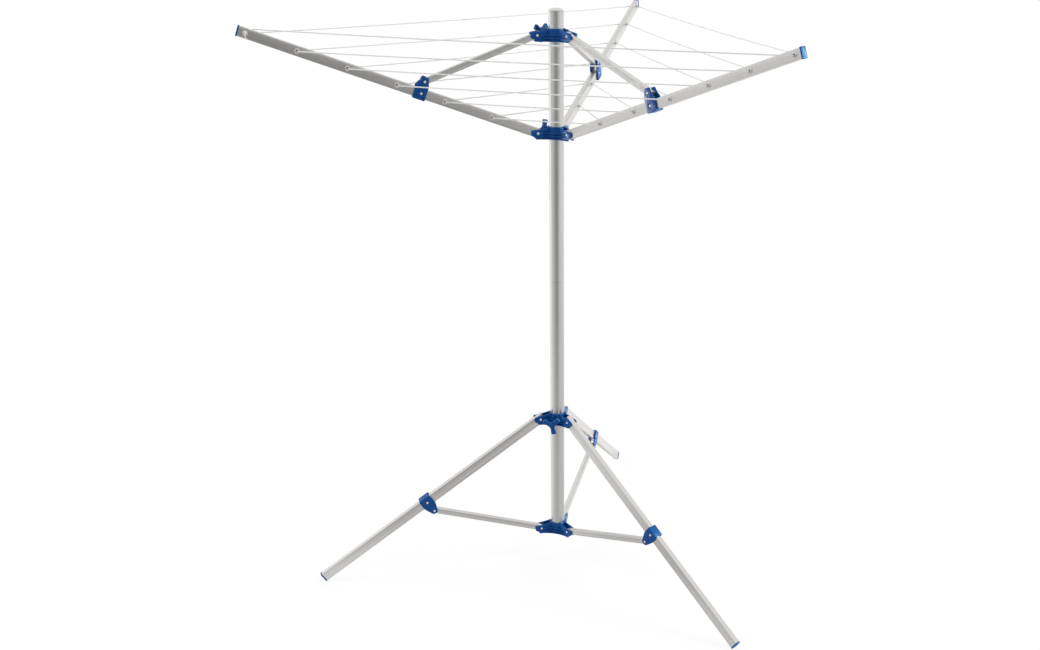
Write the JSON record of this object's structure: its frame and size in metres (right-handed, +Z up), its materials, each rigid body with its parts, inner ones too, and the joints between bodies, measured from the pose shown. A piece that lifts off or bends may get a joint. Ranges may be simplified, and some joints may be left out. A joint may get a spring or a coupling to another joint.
{
  "type": "rotary clothesline",
  "caption": "Freestanding rotary clothesline: an aluminium mast on folding tripod legs, with folding arms strung with a triangular web of cord.",
  "frame": {"origin": "centre of the object's box, on the ground under it", "axes": "+Z up along the mast; +Y along the rear arm; +X to the right, seen from the front gap between the two front arms"},
  "size_m": [1.3806, 1.196, 1.574],
  "materials": {
    "mast_tube": "satin drawn tube",
    "tubes": "satin extruded",
    "blue_plastic": "moulded, low sheen",
    "mast_cap": "moulded",
    "rivets": "plain rivet",
    "cord": "coated line"
  },
  "bodies": {
    "lower_mast": {"lower_mast": "mast_tube", "bottom_hub": "blue_plastic", "leg_strut_inner_rivet_1": "rivets", "leg_strut_inner_rivet_2": "rivets", "leg_strut_inner_rivet_3": "rivets"},
    "mast_spigot": {"mast_spigot": "mast_tube"},
    "upper_mast": {"upper_mast": "mast_tube", "mast_top_cap": "mast_cap", "top_hub": "blue_plastic", "clothesline": "cord", "arm_strut_inner_rivet_1": "rivets", "arm_strut_inner_rivet_2": "rivets", "arm_strut_inner_rivet_3": "rivets"},
    "arm_hub": {"arm_hub": "blue_plastic"},
    "leg_hub": {"leg_hub": "blue_plastic"},
    "leg_knob": {"leg_knob": "blue_plastic"},
    "arm_knob": {"arm_knob": "blue_plastic"},
    "top_knob": {"top_knob": "blue_plastic"},
    "arm_strut_1": {"arm_strut_1": "tubes"},
    "arm_1": {"arm_1": "tubes", "arm_cap_1": "blue_plastic", "arm_bracket_1": "blue_plastic", "arm_bracket_rivet_1": "rivets", "arm_strut_outer_rivet_1": "rivets"},
    "leg_strut_1": {"leg_strut_1": "tubes"},
    "leg_1": {"leg_1": "tubes", "leg_foot_1": "blue_plastic", "leg_bracket_1": "blue_plastic", "leg_bracket_rivet_1": "rivets", "leg_strut_outer_rivet_1": "rivets"},
    "arm_strut_2": {"arm_strut_2": "tubes"},
    "arm_2": {"arm_2": "tubes", "arm_cap_2": "blue_plastic", "arm_bracket_2": "blue_plastic", "arm_bracket_rivet_2": "rivets", "arm_strut_outer_rivet_2": "rivets"},
    "leg_strut_2": {"leg_strut_2": "tubes"},
    "leg_2": {"leg_2": "tubes", "leg_foot_2": "blue_plastic", "leg_bracket_2": "blue_plastic", "leg_bracket_rivet_2": "rivets", "leg_strut_outer_rivet_2": "rivets"},
    "arm_strut_3": {"arm_strut_3": "tubes"},
    "arm_3": {"arm_3": "tubes", "arm_cap_3": "blue_plastic", "arm_bracket_3": "blue_plastic", "arm_bracket_rivet_3": "rivets", "arm_strut_outer_rivet_3": "rivets"},
    "leg_strut_3": {"leg_strut_3": "tubes"},
    "leg_3": {"leg_3": "tubes", "leg_foot_3": "blue_plastic", "leg_bracket_3": "blue_plastic", "leg_bracket_rivet_3": "rivets", "leg_strut_outer_rivet_3": "rivets"}
  },
  "joints": [
    {"name": "head_turn", "type": "hinge", "parent": "lower_mast", "child": "mast_spigot", "pos_m": [0, -0.19481, 0.85], "axis": [0, 0, 1], "continuous": true},
    {"name": "head_lift", "type": "slide", "parent": "mast_spigot", "child": "upper_mast", "axis": [0, 0, 1], "range_m": [0, 0.12]},
    {"name": "arm_fold", "type": "slide", "parent": "upper_mast", "child": "arm_hub", "axis": [0, 0, -1], "range_m": [0, 0.3819], "deforming": ["clothesline"]},
    {"name": "leg_fold", "type": "slide", "parent": "lower_mast", "child": "leg_hub", "axis": [0, 0, 1], "range_m": [0, 0.3813]},
    {"name": "arm_strut_turn_1", "type": "hinge", "parent": "upper_mast", "child": "arm_strut_1", "pos_m": [-0.04417, -0.22031, 1.507], "axis": [0.5, -0.866, 0], "range_deg": [0, 69.34]},
    {"name": "arm_turn_1", "type": "hinge", "parent": "arm_strut_1", "child": "arm_1", "pos_m": [-0.29486, -0.36505, 1.39781], "axis": [-0.5, 0.866, 0], "range_deg": [0, 133.56]},
    {"name": "leg_strut_turn_1", "type": "hinge", "parent": "lower_mast", "child": "leg_strut_1", "pos_m": [-0.04367, -0.22116, 0.092], "axis": [-0.5165, 0.8563, 0], "range_deg": [0, 73.02]},
    {"name": "leg_turn_1", "type": "hinge", "parent": "leg_strut_1", "child": "leg_1", "pos_m": [-0.31216, -0.38312, 0.18781], "axis": [0.5165, -0.8563, 0], "range_deg": [0, 123.93]},
    {"name": "arm_strut_turn_2", "type": "hinge", "parent": "upper_mast", "child": "arm_strut_2", "pos_m": [0.04417, -0.22031, 1.507], "axis": [0.5, 0.866, 0], "range_deg": [0, 69.34]},
    {"name": "arm_turn_2", "type": "hinge", "parent": "arm_strut_2", "child": "arm_2", "pos_m": [0.29486, -0.36505, 1.39781], "axis": [-0.5, -0.866, 0], "range_deg": [0, 133.56]},
    {"name": "leg_strut_turn_2", "type": "hinge", "parent": "lower_mast", "child": "leg_strut_2", "pos_m": [0.04465, -0.21946, 0.092], "axis": [-0.4833, -0.8755, 0], "range_deg": [0, 73.02]},
    {"name": "leg_turn_2", "type": "hinge", "parent": "leg_strut_2", "child": "leg_2", "pos_m": [0.31916, -0.371, 0.18781], "axis": [0.4833, 0.8755, 0], "range_deg": [0, 123.93]},
    {"name": "arm_strut_turn_3", "type": "hinge", "parent": "upper_mast", "child": "arm_strut_3", "pos_m": [0, -0.14381, 1.507], "axis": [-1, 0, 0], "range_deg": [0, 69.34]},
    {"name": "arm_turn_3", "type": "hinge", "parent": "arm_strut_3", "child": "arm_3", "pos_m": [0, 0.14566, 1.39781], "axis": [1, 0, 0], "range_deg": [0, 133.56]},
    {"name": "leg_strut_turn_3", "type": "hinge", "parent": "lower_mast", "child": "leg_strut_3", "pos_m": [-0.00098, -0.14382, 0.092], "axis": [0.9998, 0.0192, 0], "range_deg": [0, 73.02]},
    {"name": "leg_turn_3", "type": "hinge", "parent": "leg_strut_3", "child": "leg_3", "pos_m": [-0.007, 0.16968, 0.18781], "axis": [-0.9998, -0.0192, 0], "range_deg": [0, 123.93]},
    {"name": "leg_knob_turn", "type": "hinge", "parent": "leg_hub", "child": "leg_knob", "pos_m": [0.00098, -0.2458, 0.4375], "axis": [0.0192, -0.9998, 0], "range_deg": [0, 360]},
    {"name": "arm_knob_turn", "type": "hinge", "parent": "arm_hub", "child": "arm_knob", "pos_m": [-0.04417, -0.16931, 1.2585], "axis": [-0.866, 0.5, 0], "range_deg": [0, 360]},
    {"name": "top_knob_turn", "type": "hinge", "parent": "upper_mast", "child": "top_knob", "pos_m": [-0.04792, -0.17737, 1.5125], "axis": [-0.9397, 0.342, 0], "range_deg": [0, 360]}
  ],
  "couplings": [
    {"joint": "arm_strut_turn_1", "follows": "arm_fold", "rad_per_m": 3.1686},
    {"joint": "arm_turn_1", "follows": "arm_fold", "rad_per_m": 6.1036},
    {"joint": "leg_strut_turn_1", "follows": "leg_fold", "rad_per_m": 3.3419},
    {"joint": "leg_turn_1", "follows": "leg_fold", "rad_per_m": 5.6724},
    {"joint": "arm_strut_turn_2", "follows": "arm_fold", "rad_per_m": 3.1686},
    {"joint": "arm_turn_2", "follows": "arm_fold", "rad_per_m": 6.1036},
    {"joint": "leg_strut_turn_2", "follows": "leg_fold", "rad_per_m": 3.3419},
    {"joint": "leg_turn_2", "follows": "leg_fold", "rad_per_m": 5.6724},
    {"joint": "arm_strut_turn_3", "follows": "arm_fold", "rad_per_m": 3.1686},
    {"joint": "arm_turn_3", "follows": "arm_fold", "rad_per_m": 6.1036},
    {"joint": "leg_strut_turn_3", "follows": "leg_fold", "rad_per_m": 3.3419},
    {"joint": "leg_turn_3", "follows": "leg_fold", "rad_per_m": 5.6724}
  ]
}
